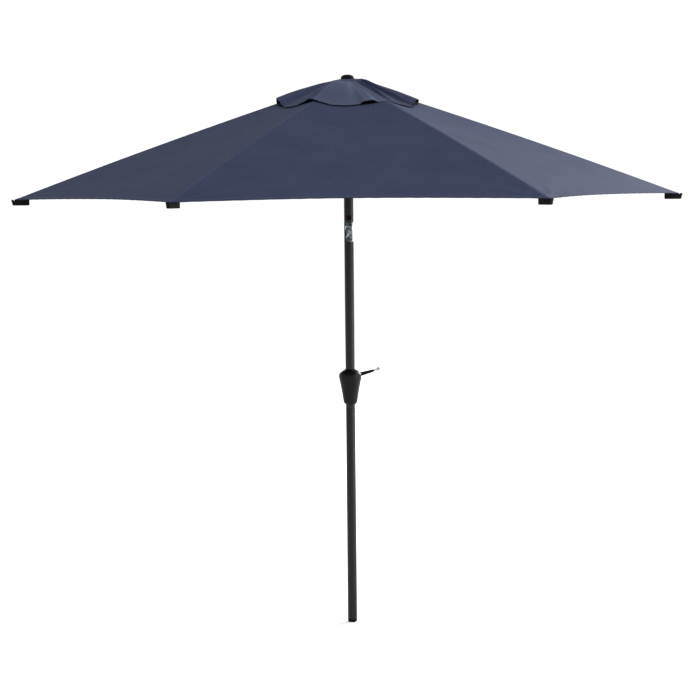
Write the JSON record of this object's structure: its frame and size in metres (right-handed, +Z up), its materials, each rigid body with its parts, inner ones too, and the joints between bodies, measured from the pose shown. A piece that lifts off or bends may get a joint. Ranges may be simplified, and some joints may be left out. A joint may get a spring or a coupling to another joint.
{
  "type": "patio umbrella",
  "caption": "Hexagonal crank umbrella on a two-piece pole, with a vented fabric canopy, folding ribs and struts, a push-button tilt joint and a tapered crank housing.",
  "frame": {"origin": "centre of the pole's foot, on the flat underside of the foot plug", "axes": "+Z up the pole, +X along rib 1 and the way the canopy tilts, crank on the +Y side"},
  "size_m": [2.69, 2.3372, 2.211],
  "materials": {
    "canopy_fabric": "matte",
    "powder_coat": "satin",
    "black_nylon": "satin",
    "black_steel": "satin",
    "zinc_steel": "satin",
    "chrome_plate": "polished",
    "housing_plastic": "satin"
  },
  "bodies": {
    "pole": {"foot_plug": "black_nylon", "lower_pole": "powder_coat", "middle_pole": "powder_coat", "snap_spring": "zinc_steel", "housing_front": "housing_plastic", "housing_rear": "housing_plastic", "housing_screw_left": "zinc_steel", "housing_screw_right": "zinc_steel", "tilt_fork": "zinc_steel", "tilt_pin": "zinc_steel"},
    "snap_button": {"snap_button": "zinc_steel"},
    "crank": {"crank_shaft": "zinc_steel", "cord_drum": "black_nylon", "crank_arm": "chrome_plate", "crank_sleeve": "housing_plastic", "knob_pin": "chrome_plate"},
    "knob": {"crank_knob": "chrome_plate"},
    "head": {"upper_pole": "powder_coat", "tilt_tongue": "zinc_steel", "tilt_spring": "zinc_steel", "top_hub": "black_nylon", "hub_wire": "zinc_steel", "pulley_axle": "zinc_steel", "finial": "black_nylon", "vent_cap": "canopy_fabric"},
    "tilt_button": {"tilt_button": "black_nylon"},
    "pulley": {"pulley": "black_nylon"},
    "runner": {"runner": "black_nylon", "runner_wire": "zinc_steel"},
    "rib_1": {"rib_1": "powder_coat", "bracket_1": "black_steel", "rib_cap_1": "black_nylon", "canopy_1": "canopy_fabric"},
    "strut_1": {"strut_1": "powder_coat"},
    "rib_2": {"rib_2": "powder_coat", "bracket_2": "black_steel", "rib_cap_2": "black_nylon", "canopy_2": "canopy_fabric"},
    "strut_2": {"strut_2": "powder_coat"},
    "rib_3": {"rib_3": "powder_coat", "bracket_3": "black_steel", "rib_cap_3": "black_nylon", "canopy_3": "canopy_fabric"},
    "strut_3": {"strut_3": "powder_coat"},
    "rib_4": {"rib_4": "powder_coat", "bracket_4": "black_steel", "rib_cap_4": "black_nylon", "canopy_4": "canopy_fabric"},
    "strut_4": {"strut_4": "powder_coat"},
    "rib_5": {"rib_5": "powder_coat", "bracket_5": "black_steel", "rib_cap_5": "black_nylon", "canopy_5": "canopy_fabric"},
    "strut_5": {"strut_5": "powder_coat"},
    "rib_6": {"rib_6": "powder_coat", "bracket_6": "black_steel", "rib_cap_6": "black_nylon", "canopy_6": "canopy_fabric"},
    "strut_6": {"strut_6": "powder_coat"}
  },
  "joints": [
    {"name": "tilt", "type": "hinge", "parent": "pole", "child": "head", "pos_m": [0, 0, 1.588], "axis": [0, -1, 0], "range_deg": [-35, 0]},
    {"name": "fold_1", "type": "hinge", "parent": "head", "child": "rib_1", "pos_m": [0.034, 0, 2.167], "axis": [0, 1, 0], "range_deg": [0, 64.2], "deforming": ["canopy_1", "canopy_2", "canopy_3", "canopy_4", "canopy_5", "canopy_6", "vent_cap"]},
    {"name": "fold_2", "type": "hinge", "parent": "head", "child": "rib_2", "pos_m": [0.017, 0.02944, 2.167], "axis": [-0.866, 0.5, 0], "range_deg": [0, 64.2]},
    {"name": "fold_3", "type": "hinge", "parent": "head", "child": "rib_3", "pos_m": [-0.017, 0.02944, 2.167], "axis": [-0.866, -0.5, 0], "range_deg": [0, 64.2]},
    {"name": "fold_4", "type": "hinge", "parent": "head", "child": "rib_4", "pos_m": [-0.034, 0, 2.167], "axis": [0, -1, 0], "range_deg": [0, 64.2]},
    {"name": "fold_5", "type": "hinge", "parent": "head", "child": "rib_5", "pos_m": [-0.017, -0.02944, 2.167], "axis": [0.866, -0.5, 0], "range_deg": [0, 64.2]},
    {"name": "fold_6", "type": "hinge", "parent": "head", "child": "rib_6", "pos_m": [0.017, -0.02944, 2.167], "axis": [0.866, 0.5, 0], "range_deg": [0, 64.2]},
    {"name": "strut_hinge_1", "type": "hinge", "parent": "rib_1", "child": "strut_1", "pos_m": [0.52761, 0, 1.97401], "axis": [0, 1, 0], "range_deg": [-129.4, 1]},
    {"name": "strut_hinge_2", "type": "hinge", "parent": "rib_2", "child": "strut_2", "pos_m": [0.26381, 0.45693, 1.97401], "axis": [-0.866, 0.5, 0], "range_deg": [-129.4, 1]},
    {"name": "strut_hinge_3", "type": "hinge", "parent": "rib_3", "child": "strut_3", "pos_m": [-0.26381, 0.45693, 1.97401], "axis": [-0.866, -0.5, 0], "range_deg": [-129.4, 1]},
    {"name": "strut_hinge_4", "type": "hinge", "parent": "rib_4", "child": "strut_4", "pos_m": [-0.52761, 0, 1.97401], "axis": [0, -1, 0], "range_deg": [-129.4, 1]},
    {"name": "strut_hinge_5", "type": "hinge", "parent": "rib_5", "child": "strut_5", "pos_m": [-0.26381, -0.45693, 1.97401], "axis": [0.866, -0.5, 0], "range_deg": [-129.4, 1]},
    {"name": "strut_hinge_6", "type": "hinge", "parent": "rib_6", "child": "strut_6", "pos_m": [0.26381, -0.45693, 1.97401], "axis": [0.866, 0.5, 0], "range_deg": [-129.4, 1]},
    {"name": "runner_hinge", "type": "hinge", "parent": "strut_1", "child": "runner", "pos_m": [0.034, 0, 1.78102], "axis": [0, 1, 0], "range_deg": [-1, 65.2]},
    {"name": "crank_turn", "type": "hinge", "parent": "pole", "child": "crank", "pos_m": [0, 0, 0.993], "axis": [0, 1, 0], "range_deg": [-5, 3605]},
    {"name": "knob_spin", "type": "hinge", "parent": "crank", "child": "knob", "pos_m": [0.11666, 0.078, 1.02513], "axis": [0, 1, 0], "continuous": true},
    {"name": "pulley_turn", "type": "hinge", "parent": "head", "child": "pulley", "pos_m": [0.008, 0, 2.122], "axis": [0, 1, 0], "range_deg": [-5, 5145]},
    {"name": "tilt_press", "type": "slide", "parent": "head", "child": "tilt_button", "axis": [0, 1, 0], "range_m": [0, 0.003], "stiffness_N_per_m": 600, "deforming": ["tilt_spring"]},
    {"name": "snap_press", "type": "slide", "parent": "pole", "child": "snap_button", "axis": [-0.866, 0.5, 0], "range_m": [0, 0.0045], "stiffness_N_per_m": 900, "deforming": ["snap_spring"]}
  ],
  "couplings": [
    {"joint": "fold_2", "follows": "fold_1", "ratio": 1},
    {"joint": "fold_3", "follows": "fold_1", "ratio": 1},
    {"joint": "fold_4", "follows": "fold_1", "ratio": 1},
    {"joint": "fold_5", "follows": "fold_1", "ratio": 1},
    {"joint": "fold_6", "follows": "fold_1", "ratio": 1},
    {"joint": "strut_hinge_1", "follows": "fold_1", "ratio": -2},
    {"joint": "strut_hinge_2", "follows": "fold_1", "ratio": -2},
    {"joint": "strut_hinge_3", "follows": "fold_1", "ratio": -2},
    {"joint": "strut_hinge_4", "follows": "fold_1", "ratio": -2},
    {"joint": "strut_hinge_5", "follows": "fold_1", "ratio": -2},
    {"joint": "strut_hinge_6", "follows": "fold_1", "ratio": -2},
    {"joint": "runner_hinge", "follows": "fold_1", "ratio": 1},
    {"joint": "crank_turn", "follows": "fold_1", "ratio": 56.075},
    {"joint": "pulley_turn", "follows": "fold_1", "ratio": 80}
  ]
}
